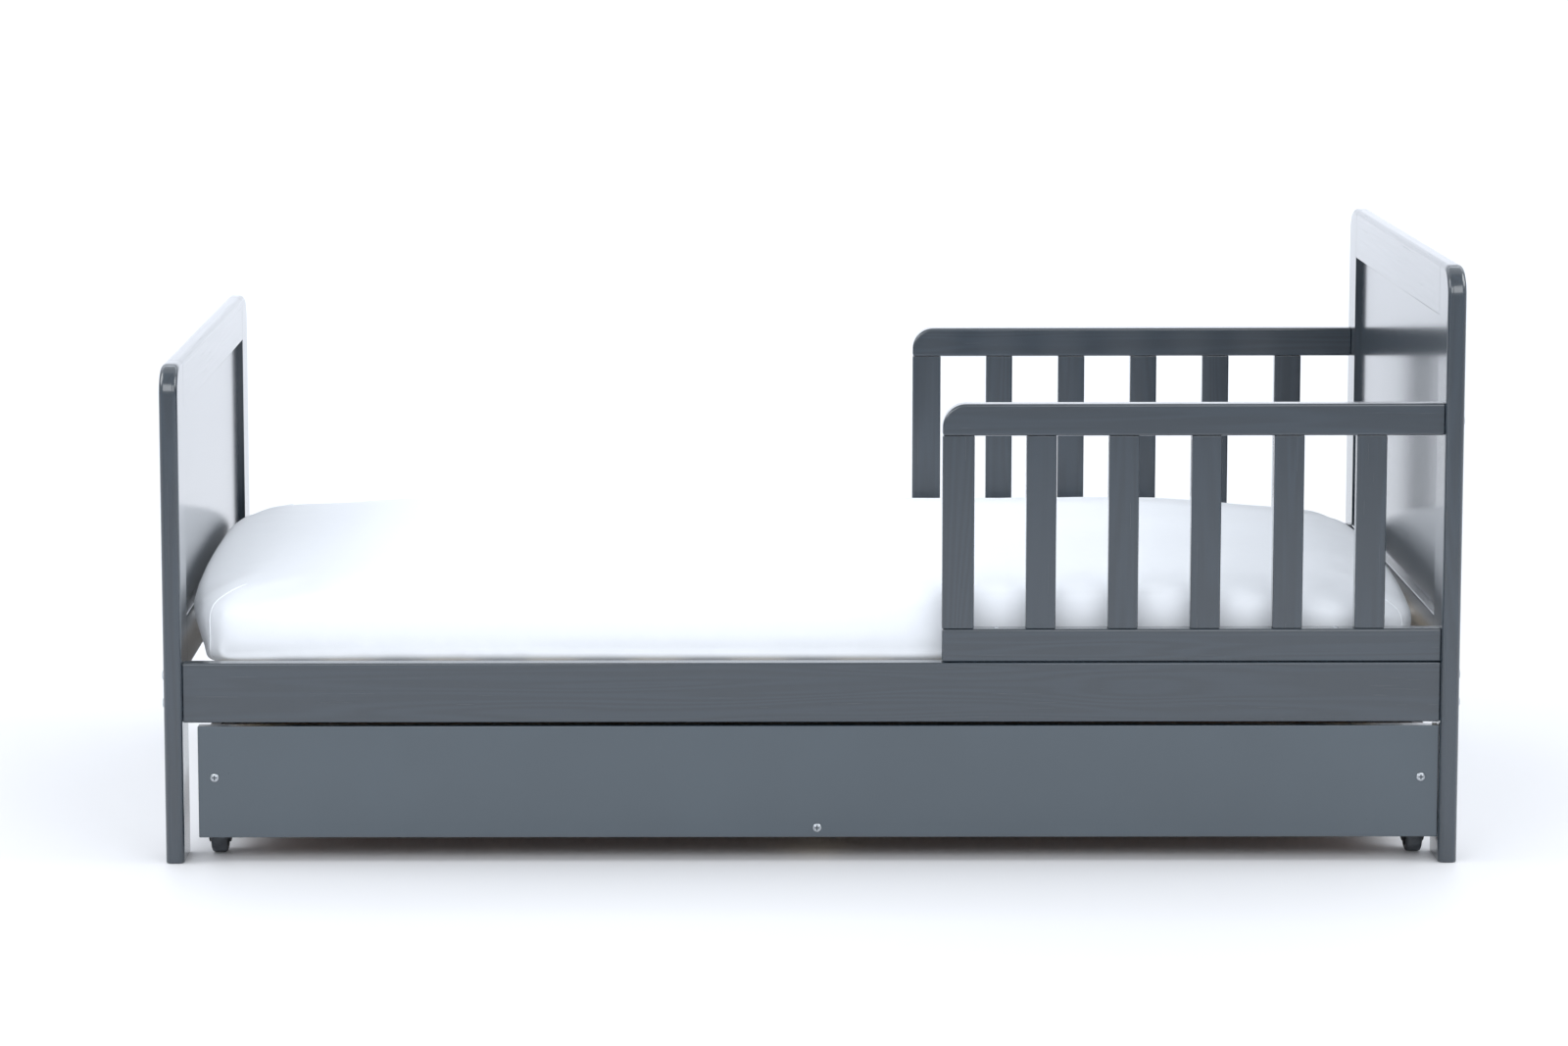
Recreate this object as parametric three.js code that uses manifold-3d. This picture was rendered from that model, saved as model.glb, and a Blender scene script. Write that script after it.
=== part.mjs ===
// Toddler bed: two framed end boards, side rails with a slatted base, two half-length
// guard rails, a mattress, and a full-length drawer that rolls under the bed on casters.
// Millimetres. X runs along the bed towards the headboard, the drawer opens towards -Y,
// and +Z is up. The origin is on the floor, under the middle of the bed.
import * as THREE from 'three';
import { mergeVertices } from 'three/addons/utils/BufferGeometryUtils.js';
import Module from 'manifold-3d';

const wasm = await Module();
wasm.setup();

// Whole bed
const innerLength = 1610;      // between the inner faces of the end boards
const overallWidth = 860;
const headHeight = 768;
const footHeight = 644;

// End boards
const endThick = 24;
const stileWidth = 68;
const headRailHeight = 69;
const footRailHeight = 62;
const lowRailBottom = 242;
const lowRailHeight = 68;
const panelThick = 8;
const panelEase = 1;           // room for a panel to move in its grooves
const grooveDepth = 12;
const tenonShoulder = 8;       // wood left outside a tenon, top or bottom
const postCornerRadius = 38;

// Side rails and slatted base
const railSetback = 8.5;       // from a post's outer edge to the rail's outer face
const railThick = 22;
const railBottom = 182.5;
const railHeight = 77.5;
const railEndGap = 1;
const ledgeWidth = 25;
const ledgeHeight = 28;
const ledgeEndGap = 12;
const slatCount = 12;
const slatWidth = 70;
const slatThick = 18;
const slatEndGap = 42;
const slatSideGap = 2;
const slatTop = 244.7;

// Guard rails
const guardLength = 636.4;
const guardHeight = 333;
const guardSetback = 10;
const guardThick = 22;
const guardLowRail = 43;
const guardTopRail = 41;
const guardCornerRadius = 30;
const guardEndSlatWidth = 41;
const guardSlatCount = 5;      // besides the wider one at the free end
const guardSlatWidth = 38.4;
const guardSlatPitch = 105;
const guardFirstSlat = 107;    // from the free end to the first narrow slat
const guardSlatThick = 18;
const slatTenonThick = 10;
const slatTenonLength = 14;
const slatTenonShoulder = 6;

// Mattress
const mattressEndEase = 24;    // both ends together
const mattressSideEase = 3.5;  // from each guard rail's inner face
const mattressThick = 107;
const mattressShift = -5;      // towards the footboard
const mattressCornerRadius = 70;
const mattressEdgeRadius = 22;

// Drawer
const drawerEndPlay = 20.5;    // both ends together, between the posts
const drawerOffset = 8.3;      // it stands a little towards the headboard
const drawerBackSpace = 52; // from the drawer's back to the bed's back
const drawerFrontBottom = 32.5;
const drawerFrontHeight = 145.5;
const drawerFrontThick = 16;
const drawerSideThick = 15;
const drawerSideHeight = 125;
const drawerSideInset = 13.5;  // from the front's end to the side board's outer face
const drawerBottomThick = 4;
const drawerBottomHeight = 10; // from the side board's lower edge to its groove
const drawerGrooveDepth = 6;
const crossRailWidth = 45;
const crossRailHeight = 27;

// Casters
const wheelRadius = 22;
const wheelWidth = 21;
const wheelTreadWidth = 15;
const wheelShoulder = 5;
const wheelStubRadius = 4;
const wheelSideGap = 1;
const wheelTopGap = 3;
const forkCheek = 2.5;
const forkPlate = 3;
const forkPlateLength = 46;
const forkFootRadius = 8.5;
const casterInset = 60;        // from the drawer front's face to the front wheels' axle
const casterBackInset = 46;    // from the drawer's back to the rear wheels' axle

// Screws through the drawer front
const screwHeadRadius = 5.75;
const screwHeadHeight = 2.2;
const screwShankRadius = 2;
const screwLength = 45;
const screwSideHeight = 78.5;  // above the front's lower edge, into the side boards
const screwCrossHeight = 12.5; // above the front's lower edge, into the cross rail

// Fits and soft edges
const gap = 0.3;               // between touching pieces
const runGap = 0.4;            // round a part that turns
const boardEdge = 2;
const panelEdge = 0.5;
const roundSteps = 32;
const cornerSteps = 8;

const insideEnd = innerLength / 2;
const frontEdge = -overallWidth / 2;
const drawerLength = innerLength - drawerEndPlay;
const drawerLeft = drawerOffset - drawerLength / 2;
const drawerRight = drawerOffset + drawerLength / 2;
const drawerFace = frontEdge + railSetback;
const drawerBack = overallWidth / 2 - drawerBackSpace;
const casterHeight = 2 * wheelRadius + wheelTopGap + forkPlate;
const railTop = railBottom + railHeight;

function material(name, color, roughness, metalness = 0) {
  return new THREE.MeshStandardMaterial({ name, color, roughness, metalness });
}

const greyPaint = material('grey_paint', '#5c646d', 0.42);
const frontPaint = material('drawer_paint', '#67727b', 0.4);
const rawPine = material('raw_pine', '#cfae80', 0.7);
const whiteBoard = material('white_board', '#e9ebee', 0.45);
const hardboard = material('hardboard', '#6b4a35', 0.75);
const cottonSheet = material('cotton_sheet', '#f1f2f4', 0.95);
const forkPlastic = material('black_plastic', '#23262a', 0.5);
const wheelPlastic = material('wheel_plastic', '#45484c', 0.55);
const screwSteel = material('screw_steel', '#b9bcc0', 0.3, 1);

const bed = new THREE.Group();

function add(name, geometry, surface) {
  geometry.computeVertexNormals();
  const mesh = new THREE.Mesh(geometry, surface);
  mesh.name = name;
  bed.add(mesh);
}

// Closed geometry to a solid that can be cut and joined, and back.
function toSolid(geometry) {
  const bare = geometry.clone();
  bare.deleteAttribute('normal');
  bare.deleteAttribute('uv');
  const merged = mergeVertices(bare, 1e-4);
  return new wasm.Manifold(new wasm.Mesh({
    numProp: 3,
    vertProperties: new Float32Array(merged.getAttribute('position').array),
    triVerts: new Uint32Array(merged.getIndex().array),
  }));
}

function fromSolid(solid) {
  const mesh = solid.getMesh();
  const geometry = new THREE.BufferGeometry();
  geometry.setAttribute('position', new THREE.BufferAttribute(mesh.vertProperties, 3));
  geometry.setIndex(new THREE.BufferAttribute(mesh.triVerts, 1));
  return geometry.toNonIndexed();
}

// A span is the room a piece takes: { x: [low, high], y: [low, high], z: [low, high] }.
function spanBox(span) {
  const size = (axis) => span[axis][1] - span[axis][0];
  const middle = (axis) => (span[axis][0] + span[axis][1]) / 2;
  const box = new THREE.BoxGeometry(size('x'), size('y'), size('z'));
  return box.translate(middle('x'), middle('y'), middle('z'));
}

function grown(span, by) {
  const wider = ([low, high]) => [low - by, high + by];
  return { x: wider(span.x), y: wider(span.y), z: wider(span.z) };
}

// The same span on the other side of the bed's centre line, where side is 1.
function onSide(span, side) {
  if (side < 0) return span;
  return { ...span, y: [-span.y[1], -span.y[0]] };
}

// The same span at the footboard, where end is -1.
function atEnd(span, end) {
  if (end > 0) return span;
  return { ...span, x: [-span.x[1], -span.x[0]] };
}

// Outline of a board with its own radius at each corner, anticlockwise from the origin.
function boardOutline(width, height, radii) {
  const outline = new THREE.Shape();
  const corners = [[0, 0], [width, 0], [width, height], [0, height]];
  corners.forEach(([x, y], index) => {
    const radius = radii[index];
    const start = Math.PI + (index * Math.PI) / 2;
    const centreX = x === 0 ? radius : x - radius;
    const centreY = y === 0 ? radius : y - radius;
    if (radius > 0) outline.absarc(centreX, centreY, radius, start, start + Math.PI / 2);
    else if (index === 0) outline.moveTo(x, y);
    else outline.lineTo(x, y);
  });
  return outline;
}

// The two directions of a board's face, for each direction its thickness can take.
const faceAxes = { x: ['y', 'z'], y: ['z', 'x'], z: ['x', 'y'] };

function unit(axis) {
  return new THREE.Vector3(axis === 'x' ? 1 : 0, axis === 'y' ? 1 : 0, axis === 'z' ? 1 : 0);
}

// A board that fills a span, with softened edges and rounded corners on its face.
function boardGeometry(span, through, { edge = boardEdge, radii = [0, 0, 0, 0] } = {}) {
  const [across, up] = faceAxes[through];
  const width = span[across][1] - span[across][0];
  const height = span[up][1] - span[up][0];
  const thick = span[through][1] - span[through][0];
  const geometry = new THREE.ExtrudeGeometry(boardOutline(width, height, radii), {
    depth: thick - 2 * edge,
    bevelThickness: edge,
    bevelSize: edge,
    bevelOffset: -edge,
    bevelSegments: 2,
    curveSegments: cornerSteps,
  });
  geometry.translate(0, 0, edge);
  geometry.applyMatrix4(new THREE.Matrix4().makeBasis(unit(across), unit(up), unit(through)));
  return geometry.translate(span.x[0], span.y[0], span.z[0]);
}

// A board with its tenons joined on, and its mortises, grooves and holes cut out.
function shapedBoard(span, through, { tenons = [], cuts = [], holes = [], ...look } = {}) {
  let solid = toSolid(boardGeometry(span, through, look));
  for (const tenon of tenons) solid = solid.add(toSolid(spanBox(tenon)));
  for (const cut of cuts) solid = solid.subtract(toSolid(spanBox(cut)));
  for (const hole of holes) solid = solid.subtract(toSolid(hole));
  return fromSolid(solid);
}

// A round bar along an axis, from one point along it to another.
function roundBar(axis, radius, from, to, centre) {
  const bar = new THREE.CylinderGeometry(radius, radius, to - from, roundSteps);
  bar.applyQuaternion(new THREE.Quaternion().setFromUnitVectors(unit('y'), unit(axis)));
  const at = new THREE.Vector3(...centre);
  return bar.translate(...at.addScaledVector(unit(axis), (from + to) / 2));
}

// ---- End boards: two stiles, two rails and a panel held in grooves ----

function endBoard(label, end, height, topRailHeight) {
  const board = { x: [insideEnd, insideEnd + endThick] };
  const middle = insideEnd + endThick / 2;
  const tongue = [middle - panelThick / 2, middle + panelThick / 2];
  const stileInside = frontEdge + stileWidth;
  const railEnd = -stileInside - gap;
  const grooveEnd = -stileInside + grooveDepth;
  const topRailBottom = height - topRailHeight;
  const lowRailTop = lowRailBottom + lowRailHeight;
  const tongueEnd = grooveEnd - gap;

  const topTenon = { x: tongue, y: [-tongueEnd, tongueEnd], z: [topRailBottom, height - tenonShoulder] };
  const lowTenon = { x: tongue, y: [-tongueEnd, tongueEnd], z: [lowRailBottom + tenonShoulder, lowRailTop] };
  const panel = {
    x: tongue,
    y: [-grooveEnd + panelEase, grooveEnd - panelEase],
    z: [lowRailTop - grooveDepth + panelEase, topRailBottom + grooveDepth - panelEase],
  };
  const stileGroove = grown({
    x: tongue,
    y: [stileInside - grooveDepth + gap, stileInside],
    z: [lowTenon.z[0], topTenon.z[1]],
  }, gap);
  const topGroove = { ...grown(topTenon, gap), z: [topRailBottom - gap, topRailBottom + grooveDepth] };
  const lowGroove = { ...grown(lowTenon, gap), z: [lowRailTop - grooveDepth, lowRailTop + gap] };

  for (const side of [-1, 1]) {
    const stile = { ...board, y: [frontEdge, stileInside], z: [0, height] };
    const radii = side < 0 ? [0, 0, 0, postCornerRadius] : [0, 0, postCornerRadius, 0];
    const cuts = [atEnd(onSide(stileGroove, side), end)];
    const name = `${label}_stile_${side < 0 ? 'front' : 'back'}`;
    add(name, shapedBoard(atEnd(onSide(stile, side), end), 'x', { radii, cuts }), greyPaint);
  }
  const topRail = { ...board, y: [-railEnd, railEnd], z: [topRailBottom, height] };
  const lowRail = { ...board, y: [-railEnd, railEnd], z: [lowRailBottom, lowRailTop] };
  const topJoints = { tenons: [atEnd(topTenon, end)], cuts: [atEnd(topGroove, end)] };
  const lowJoints = { tenons: [atEnd(lowTenon, end)], cuts: [atEnd(lowGroove, end)] };
  add(`${label}_top_rail`, shapedBoard(atEnd(topRail, end), 'x', topJoints), greyPaint);
  add(`${label}_bottom_rail`, shapedBoard(atEnd(lowRail, end), 'x', lowJoints), greyPaint);
  add(`${label}_panel`, boardGeometry(atEnd(panel, end), 'x', { edge: panelEdge }), greyPaint);
}

// ---- Side rails, the ledges on their inner faces, and the slats across ----

function sideRails() {
  const railEnd = insideEnd - railEndGap;
  const ledgeEnd = insideEnd - ledgeEndGap;
  const railInside = frontEdge + railSetback + railThick;
  const ledgeTop = slatTop - slatThick - gap;
  for (const side of [-1, 1]) {
    const place = side < 0 ? 'front' : 'back';
    const rail = {
      x: [-railEnd, railEnd],
      y: [frontEdge + railSetback, railInside],
      z: [railBottom, railTop],
    };
    const ledge = {
      x: [-ledgeEnd, ledgeEnd],
      y: [railInside + gap, railInside + gap + ledgeWidth],
      z: [ledgeTop - ledgeHeight, ledgeTop],
    };
    add(`side_rail_${place}`, boardGeometry(onSide(rail, side), 'y'), greyPaint);
    add(`slat_ledge_${place}`, boardGeometry(onSide(ledge, side), 'y'), greyPaint);
  }
}

function bedSlats() {
  const reach = -(frontEdge + railSetback + railThick + slatSideGap);
  const first = -insideEnd + slatEndGap;
  const pitch = (innerLength - 2 * slatEndGap - slatWidth) / (slatCount - 1);
  for (let index = 0; index < slatCount; index += 1) {
    const left = first + index * pitch;
    const slat = { x: [left, left + slatWidth], y: [-reach, reach], z: [slatTop - slatThick, slatTop] };
    add(`bed_slat_${index + 1}`, boardGeometry(slat, 'z'), rawPine);
  }
}

// ---- Guard rails: they stand on the side rails and end at the headboard ----

function guardRail(side) {
  const place = side < 0 ? 'front' : 'back';
  const right = insideEnd - railEndGap;
  const left = right - guardLength;
  const outer = frontEdge + guardSetback;
  const bottom = railTop + gap;
  const top = bottom + guardHeight;
  const lowTop = bottom + guardLowRail;
  const highBottom = top - guardTopRail;
  const depth = [outer, outer + guardThick];
  const middle = outer + guardThick / 2;
  const slatDepth = [middle - guardSlatThick / 2, middle + guardSlatThick / 2];
  const tenonDepth = [middle - slatTenonThick / 2, middle + slatTenonThick / 2];

  const mortises = [];
  for (let index = 0; index <= guardSlatCount; index += 1) {
    const isEnd = index === 0;
    const start = isEnd ? left : left + guardFirstSlat + (index - 1) * guardSlatPitch;
    const width = isEnd ? guardEndSlatWidth : guardSlatWidth;
    const slat = { x: [start, start + width], y: slatDepth, z: [lowTop + gap, highBottom - gap] };
    const tenon = {
      x: [start + slatTenonShoulder, start + width - slatTenonShoulder],
      y: tenonDepth,
      z: [lowTop - slatTenonLength, highBottom + slatTenonLength],
    };
    mortises.push(onSide(grown(tenon, gap), side));
    const geometry = shapedBoard(onSide(slat, side), 'y', { tenons: [onSide(tenon, side)] });
    add(`guard_${place}_slat_${index + 1}`, geometry, greyPaint);
  }

  const lowRail = onSide({ x: [left, right], y: depth, z: [bottom, lowTop] }, side);
  const topRail = onSide({ x: [left, right], y: depth, z: [highBottom, top] }, side);
  const radii = [0, guardCornerRadius, 0, 0];
  add(`guard_${place}_bottom_rail`, shapedBoard(lowRail, 'y', { cuts: mortises }), greyPaint);
  add(`guard_${place}_top_rail`, shapedBoard(topRail, 'y', { cuts: mortises, radii }), greyPaint);
}

// ---- Mattress ----

function mattress() {
  const halfLength = (innerLength - mattressEndEase) / 2;
  const halfWidth = -(frontEdge + guardSetback + guardThick + mattressSideEase);
  const bottom = slatTop + gap;
  const span = {
    x: [mattressShift - halfLength, mattressShift + halfLength],
    y: [-halfWidth, halfWidth],
    z: [bottom, bottom + mattressThick],
  };
  const corner = mattressCornerRadius;
  const look = { edge: mattressEdgeRadius, radii: [corner, corner, corner, corner] };
  add('mattress', boardGeometry(span, 'z', look), cottonSheet);
}

// ---- Drawer: front, two sides, back, grooved-in bottom and a cross rail under it ----

function screwHole(x, z) {
  const end = drawerFace + screwLength + gap;
  return roundBar('y', screwShankRadius + gap, drawerFace - gap, end, [x, 0, z]);
}

function drawer() {
  const sideBottom = casterHeight + gap;
  const sideTop = sideBottom + drawerSideHeight;
  const frontTop = drawerFrontBottom + drawerFrontHeight;
  const frontInside = drawerFace + drawerFrontThick;
  const leftSide = drawerLeft + drawerSideInset;
  const rightSide = drawerRight - drawerSideInset;
  const leftInside = leftSide + drawerSideThick;
  const rightInside = rightSide - drawerSideThick;
  const backInside = drawerBack - drawerSideThick;
  const bottomLow = sideBottom + drawerBottomHeight;
  const tongue = drawerGrooveDepth - gap;
  const bottom = {
    x: [leftInside - tongue, rightInside + tongue],
    y: [frontInside - tongue, backInside + tongue],
    z: [bottomLow, bottomLow + drawerBottomThick],
  };
  const groove = grown(bottom, gap);
  const sideScrew = drawerFrontBottom + screwSideHeight;
  const crossScrew = drawerFrontBottom + screwCrossHeight;
  const screws = [
    { name: 'left', x: leftSide + drawerSideThick / 2, z: sideScrew },
    { name: 'right', x: rightSide - drawerSideThick / 2, z: sideScrew },
    { name: 'centre', x: drawerOffset, z: crossScrew },
  ];
  const holes = screws.map(({ x, z }) => screwHole(x, z));

  const front = {
    x: [drawerLeft, drawerRight],
    y: [drawerFace, frontInside],
    z: [drawerFrontBottom, frontTop],
  };
  add('drawer_front', shapedBoard(front, 'y', { cuts: [groove], holes }), frontPaint);

  const sides = { left: [leftSide, leftInside], right: [rightInside, rightSide] };
  for (const [name, across] of Object.entries(sides)) {
    const board = { x: across, y: [frontInside + gap, drawerBack], z: [sideBottom, sideTop] };
    add(`drawer_side_${name}`, shapedBoard(board, 'x', { cuts: [groove], holes }), whiteBoard);
  }
  const back = {
    x: [leftInside + gap, rightInside - gap],
    y: [backInside, drawerBack],
    z: [sideBottom, sideTop],
  };
  add('drawer_back', shapedBoard(back, 'y', { cuts: [groove] }), whiteBoard);
  add('drawer_bottom', boardGeometry(bottom, 'z', { edge: panelEdge }), hardboard);
  const crossRail = {
    x: [drawerOffset - crossRailWidth / 2, drawerOffset + crossRailWidth / 2],
    y: [frontInside + gap, backInside - gap],
    z: [bottomLow - gap - crossRailHeight, bottomLow - gap],
  };
  add('drawer_cross_rail', shapedBoard(crossRail, 'z', { holes }), rawPine);
  for (const { name, x, z } of screws) drawerScrew(`drawer_screw_${name}`, x, z);
}

// A pan-head screw along Y: its head stands on the drawer front's face.
function drawerScrew(name, x, z) {
  const point = screwLength - 3 * screwShankRadius;
  const profile = [
    [0, -screwHeadHeight - gap],
    [screwHeadRadius * 0.6, -screwHeadHeight - gap],
    [screwHeadRadius, -screwHeadHeight * 0.4 - gap],
    [screwHeadRadius, -gap],
    [screwShankRadius, -gap],
    [screwShankRadius, point],
    [0, screwLength],
  ].map(([radius, along]) => new THREE.Vector2(radius, along));
  const screw = new THREE.LatheGeometry(profile, roundSteps);
  add(name, screw.translate(x, drawerFace, z), screwSteel);
}

// ---- Casters: a fork under each corner of the drawer, with a wheel on stub axles ----

function casterFork(name, x, y) {
  const outside = wheelWidth / 2 + wheelSideGap + forkCheek;
  const plateBottom = casterHeight - forkPlate;
  const plate = {
    x: [x - outside, x + outside],
    y: [y - forkPlateLength / 2, y + forkPlateLength / 2],
    z: [plateBottom, casterHeight],
  };
  const cheekTop = plateBottom + forkPlate / 2;
  const cheekHalf = forkPlateLength / 2 - forkPlate;
  const cheek = new THREE.Shape();
  cheek.moveTo(cheekHalf, cheekTop);
  cheek.lineTo(-cheekHalf, cheekTop);
  cheek.absarc(0, wheelRadius, forkFootRadius, Math.PI, 2 * Math.PI);
  cheek.lineTo(cheekHalf, cheekTop);
  const turn = new THREE.Matrix4().makeBasis(unit('y'), unit('z'), unit('x'));
  let fork = toSolid(boardGeometry(plate, 'z', { edge: panelEdge }));
  for (const low of [x - outside, x + outside - forkCheek]) {
    const flat = { depth: forkCheek, bevelEnabled: false, curveSegments: cornerSteps };
    const wall = new THREE.ExtrudeGeometry(cheek, flat);
    fork = fork.add(toSolid(wall.applyMatrix4(turn).translate(low, y, 0)));
  }
  const reach = outside + gap;
  const bore = roundBar('x', wheelStubRadius + runGap, x - reach, x + reach, [0, y, wheelRadius]);
  add(name, fromSolid(fork.subtract(toSolid(bore))), forkPlastic);
}

function casterWheel(name, x, y) {
  const stubEnd = wheelWidth / 2 + wheelSideGap + forkCheek;
  const half = wheelWidth / 2;
  const tread = wheelTreadWidth / 2;
  const shoulder = wheelRadius - wheelShoulder;
  const profile = [
    [0, -stubEnd],
    [wheelStubRadius, -stubEnd],
    [wheelStubRadius, -half],
    [shoulder, -half],
    [wheelRadius - wheelShoulder / 4, -(half + tread) / 2],
    [wheelRadius, -tread],
    [wheelRadius, tread],
    [wheelRadius - wheelShoulder / 4, (half + tread) / 2],
    [shoulder, half],
    [wheelStubRadius, half],
    [wheelStubRadius, stubEnd],
    [0, stubEnd],
  ].map(([radius, along]) => new THREE.Vector2(radius, along));
  const wheel = new THREE.LatheGeometry(profile, roundSteps);
  wheel.rotateZ(-Math.PI / 2);
  add(name, wheel.translate(x, y, wheelRadius), wheelPlastic);
}

function casters() {
  const inset = drawerSideInset + drawerSideThick / 2;
  const columns = { left: drawerLeft + inset, right: drawerRight - inset };
  const rows = { front: drawerFace + casterInset, back: drawerBack - casterBackInset };
  for (const [row, y] of Object.entries(rows)) {
    for (const [column, x] of Object.entries(columns)) {
      casterFork(`caster_fork_${row}_${column}`, x, y);
      casterWheel(`caster_wheel_${row}_${column}`, x, y);
    }
  }
}

endBoard('head', 1, headHeight, headRailHeight);
endBoard('foot', -1, footHeight, footRailHeight);
sideRails();
bedSlats();
guardRail(-1);
guardRail(1);
mattress();
drawer();
casters();

export default bed;
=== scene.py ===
# Toddler bed: painted boards, a mattress in a fitted sheet, and a drawer on casters.
import math

import bmesh
import bpy
from mathutils import Matrix, Vector, noise
from mathutils.bvhtree import BVHTree


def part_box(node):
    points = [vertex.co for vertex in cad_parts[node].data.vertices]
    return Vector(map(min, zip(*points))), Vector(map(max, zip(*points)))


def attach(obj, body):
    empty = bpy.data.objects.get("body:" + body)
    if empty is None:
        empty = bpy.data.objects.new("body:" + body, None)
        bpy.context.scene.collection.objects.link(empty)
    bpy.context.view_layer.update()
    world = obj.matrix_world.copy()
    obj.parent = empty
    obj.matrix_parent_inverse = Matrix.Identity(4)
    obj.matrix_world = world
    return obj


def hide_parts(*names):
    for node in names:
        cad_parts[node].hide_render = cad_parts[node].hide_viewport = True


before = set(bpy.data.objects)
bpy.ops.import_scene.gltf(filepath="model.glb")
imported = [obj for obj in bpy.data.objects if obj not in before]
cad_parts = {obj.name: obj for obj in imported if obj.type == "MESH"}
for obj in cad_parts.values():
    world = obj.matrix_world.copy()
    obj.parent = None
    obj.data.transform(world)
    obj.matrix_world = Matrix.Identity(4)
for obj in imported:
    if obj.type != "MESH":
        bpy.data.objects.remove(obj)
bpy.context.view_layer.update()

scene = bpy.context.scene
millimetre = 0.001
fitGap = 0.3 * millimetre


class Number:
    # A socket's value, ready for ordinary arithmetic.
    def __init__(self, surface, socket):
        self.surface = surface
        self.socket = socket

    def math(self, operation, first, second=0.0):
        made = self.surface.node("ShaderNodeMath", {"operation": operation}, {0: first, 1: second})
        return Number(self.surface, made.outputs[0])

    def __add__(self, other):
        return self.math("ADD", self, other)

    def __radd__(self, other):
        return self.math("ADD", other, self)

    def __sub__(self, other):
        return self.math("SUBTRACT", self, other)

    def __rsub__(self, other):
        return self.math("SUBTRACT", other, self)

    def __mul__(self, other):
        return self.math("MULTIPLY", self, other)

    def __rmul__(self, other):
        return self.math("MULTIPLY", other, self)

    def sine(self):
        return self.math("SINE", self)


class Surface:
    # A material under construction: its Principled shader and the nodes that feed it.
    def __init__(self, name, values):
        self.material = bpy.data.materials.new(name)
        self.material.use_nodes = True
        self.tree = self.material.node_tree
        self.shader = self.tree.nodes["Principled BSDF"]
        for socket, value in values.items():
            self.feed(self.shader.inputs[socket], value)

    def node(self, kind, settings=None, sockets=None):
        made = self.tree.nodes.new(kind)
        for key, value in (settings or {}).items():
            if key == "stops":
                self.setStops(made.color_ramp, value)
            else:
                setattr(made, key, value)
        for key, value in (sockets or {}).items():
            self.feed(made.inputs[key], value)
        return made

    def setStops(self, ramp, stops):
        for element, (place, grey) in zip(ramp.elements, stops):
            element.position = place
            element.color = (grey, grey, grey, 1)

    def feed(self, socket, value):
        if isinstance(value, Number):
            value = value.socket
        if isinstance(value, bpy.types.NodeSocket):
            self.tree.links.new(value, socket)
        else:
            socket.default_value = value

    def place(self, scale=(1, 1, 1)):
        coords = self.node("ShaderNodeTexCoord").outputs["Object"]
        return self.node("ShaderNodeMapping", None, {"Vector": coords, "Scale": scale}).outputs[0]

    def noise(self, scale, detail=3.0, roughness=0.55, distortion=0.0):
        sockets = {"Vector": self.place(scale), "Scale": 1.0, "Detail": detail}
        sockets.update({"Roughness": roughness, "Distortion": distortion})
        return Number(self, self.node("ShaderNodeTexNoise", None, sockets).outputs[0])

    def ramp(self, value, low, high):
        made = self.node("ShaderNodeValToRGB", {"stops": ((low, 0), (high, 1))}, {0: value})
        return Number(self, made.outputs[0])

    def mix(self, share, first, second):
        sockets = {0: share, 6: first, 7: second}
        return self.node("ShaderNodeMix", {"data_type": "RGBA"}, sockets).outputs[2]

    def axis(self, index, scale=1.0):
        split = self.node("ShaderNodeSeparateXYZ", None, {0: self.place()})
        return Number(self, split.outputs[index]) * scale

    def bump(self, height, strength, distance):
        sockets = {"Height": height, "Strength": strength, "Distance": distance}
        self.feed(self.shader.inputs["Normal"], self.node("ShaderNodeBump", None, sockets).outputs[0])


def colour(code):
    # A web colour as the linear values that a shader takes.
    parts = [int(code[start:start + 2], 16) / 255 for start in (0, 2, 4)]
    linear = [part / 12.92 if part <= 0.04045 else ((part + 0.055) / 1.055) ** 2.4 for part in parts]
    return (*linear, 1.0)


def alongGrain(grain, along, across):
    return tuple(along if axis == grain else across for axis in "xyz")


paintLook = {
    "colour": "29343e", "pore": "252f38", "roughness": 0.24, "ior": 1.5,
    "coat": 1.0, "coatRoughness": 0.13, "relief": 0.08,
}


def paintShader(name, base):
    return Surface(name, {
        "Base Color": colour(base), "IOR": paintLook["ior"],
        "Coat Weight": paintLook["coat"], "Coat Roughness": paintLook["coatRoughness"],
    })


def paintedPine(grain):
    # Satin paint through which the grain of the pine still shows as a faint relief.
    look = paintLook
    surface = paintShader(f"satin_paint_on_pine_{grain}", look["colour"])
    fibres = surface.noise(alongGrain(grain, 6, 520), 3)
    field = surface.noise(alongGrain(grain, 0.9, 17), 2, 0.5, 0.4)
    rings = (field * 95).sine() * 0.5 + 0.5
    height = fibres * 0.55 + rings * 0.45
    tint = surface.ramp(height, 0.3, 0.75)
    surface.feed(surface.shader.inputs["Base Color"],
                 surface.mix(tint, colour(look["pore"]), colour(look["colour"])))
    surface.feed(surface.shader.inputs["Roughness"], look["roughness"] + (0.5 - fibres) * 0.16)
    surface.bump(height, look["relief"], 0.4 * millimetre)
    return surface.material


def paintedBoard(name, base, roughness):
    # Sprayed fibreboard: smooth, with the faint orange peel of a roller or gun.
    surface = paintShader(name, base)
    peel = surface.noise((330, 330, 330), 2)
    cloud = surface.noise((5, 5, 5), 2)
    surface.feed(surface.shader.inputs["Base Color"],
                 surface.mix(cloud * 0.5, colour(base), colour(paintLook["pore"])))
    surface.feed(surface.shader.inputs["Roughness"], roughness + (peel - 0.5) * 0.1)
    surface.bump(peel, 0.05, 0.3 * millimetre)
    return surface.material


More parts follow.
